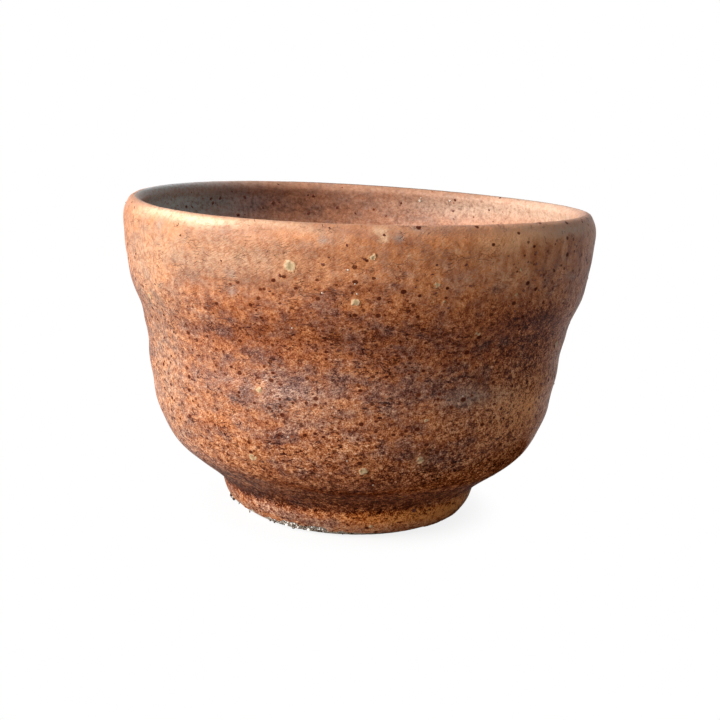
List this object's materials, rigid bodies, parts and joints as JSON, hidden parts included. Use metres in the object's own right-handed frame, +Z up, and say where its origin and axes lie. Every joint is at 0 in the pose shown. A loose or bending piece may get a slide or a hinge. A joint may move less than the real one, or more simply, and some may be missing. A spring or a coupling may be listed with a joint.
{
  "type": "sake cup",
  "caption": "Small thrown stoneware cup without a handle: rounded lip, shallow waist, round belly and a turned foot ring, glazed inside and out.",
  "frame": {"origin": "centre of the foot ring's contact face, on the table", "axes": "+Z up through the mouth of the cup; -Y faces the side that the picture shows"},
  "size_m": [0.065, 0.065, 0.0435],
  "materials": {
    "stoneware": "bare fired stoneware, pale, matte and sandy",
    "outer_glaze": "satin iron-brown ash glaze with dark specks",
    "inner_glaze": "satin brown liner glaze with dark specks",
    "feldspar": "half-melted pale feldspar",
    "sand": "pale kiln sand"
  },
  "bodies": {
    "root": {"clay_body": "stoneware", "foot_ring": "stoneware", "outer_glaze": "outer_glaze", "inner_glaze": "inner_glaze", "feldspar_grains": "feldspar", "kiln_sand": "sand"}
  },
  "joints": []
}
